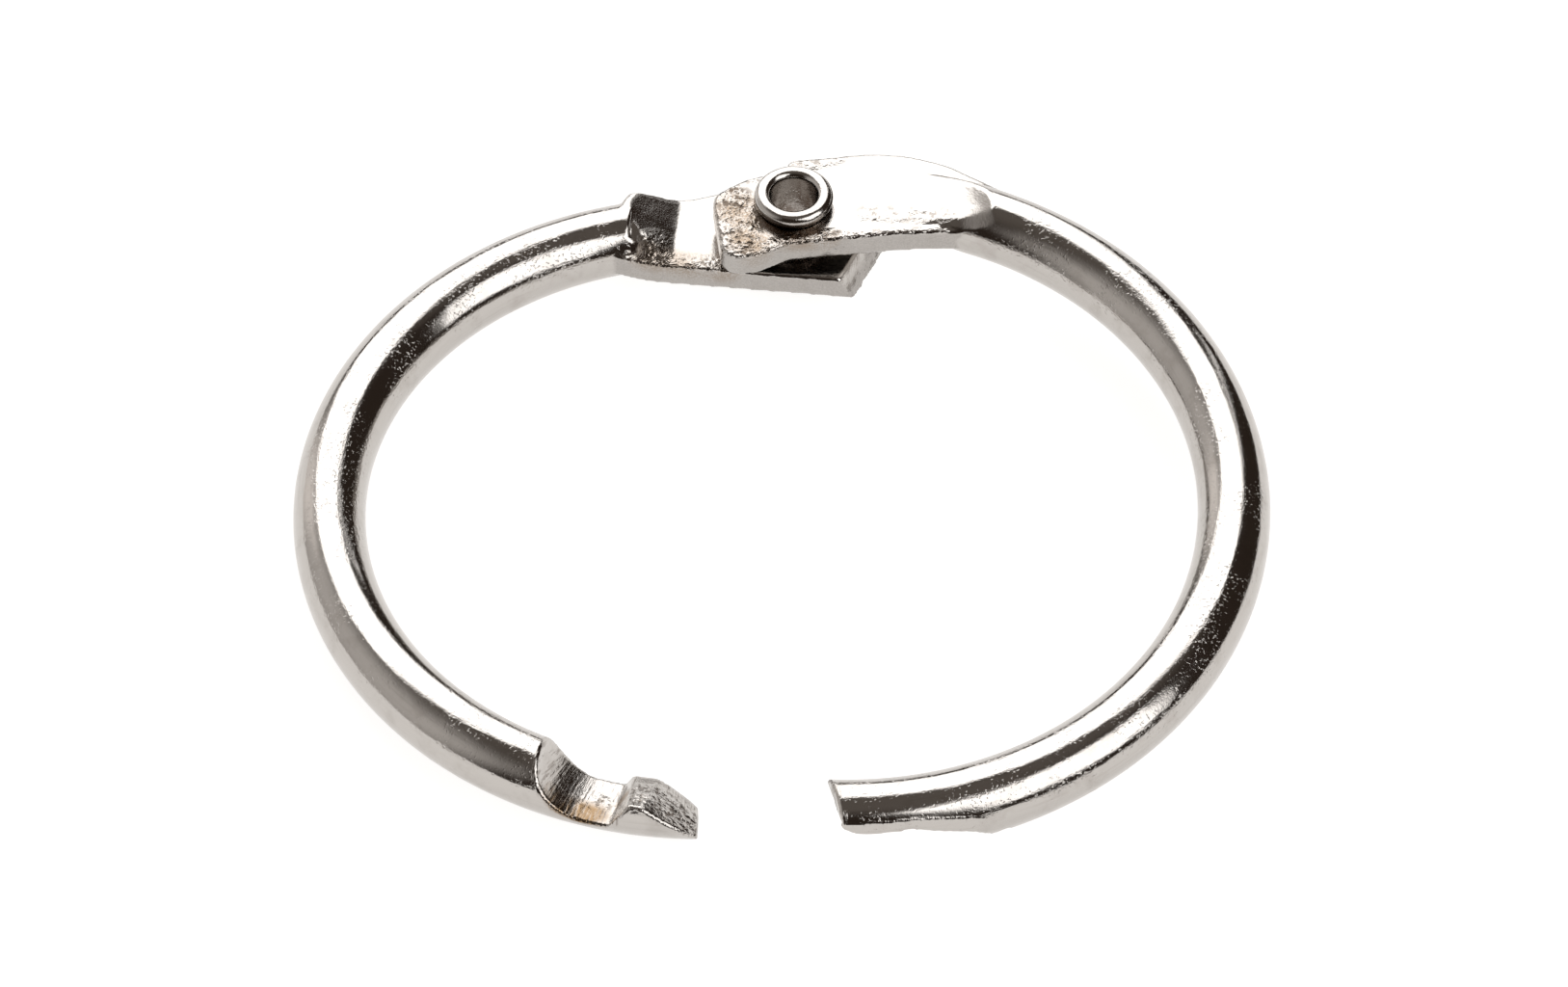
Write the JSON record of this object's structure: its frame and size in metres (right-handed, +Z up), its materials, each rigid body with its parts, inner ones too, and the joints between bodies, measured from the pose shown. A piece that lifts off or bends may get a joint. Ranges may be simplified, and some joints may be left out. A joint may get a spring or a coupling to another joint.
{
  "type": "binder ring",
  "caption": "Hinged steel wire ring that swings open on a hollow eyelet and hooks shut with a half-lap latch, for holding punched sheets.",
  "frame": {"origin": "on the hinge eyelet's axis, level with the middle of the left half's wire", "axes": "+Z up along the eyelet's axis with the ring lying flat, -Y from the hinge towards the latch, +X towards the right half"},
  "size_m": [0.0362, 0.0322, 0.0041],
  "materials": {
    "plated_wire": "bright nickel plate, lightly pitted and scuffed",
    "plated_eyelet": "bright nickel plate on a rolled steel tube"
  },
  "bodies": {
    "left_half": {"left_half": "plated_wire"},
    "eyelet": {"eyelet": "plated_eyelet"},
    "right_half": {"right_half": "plated_wire"}
  },
  "joints": [
    {"name": "eyelet_play", "type": "slide", "parent": "left_half", "child": "eyelet", "axis": [0, 0, 1], "range_m": [-0.00035, 0]},
    {"name": "swing", "type": "hinge", "parent": "eyelet", "child": "right_half", "pos_m": [0, 0, 0], "axis": [0, 0, 1], "range_deg": [-21.4, 120]}
  ]
}
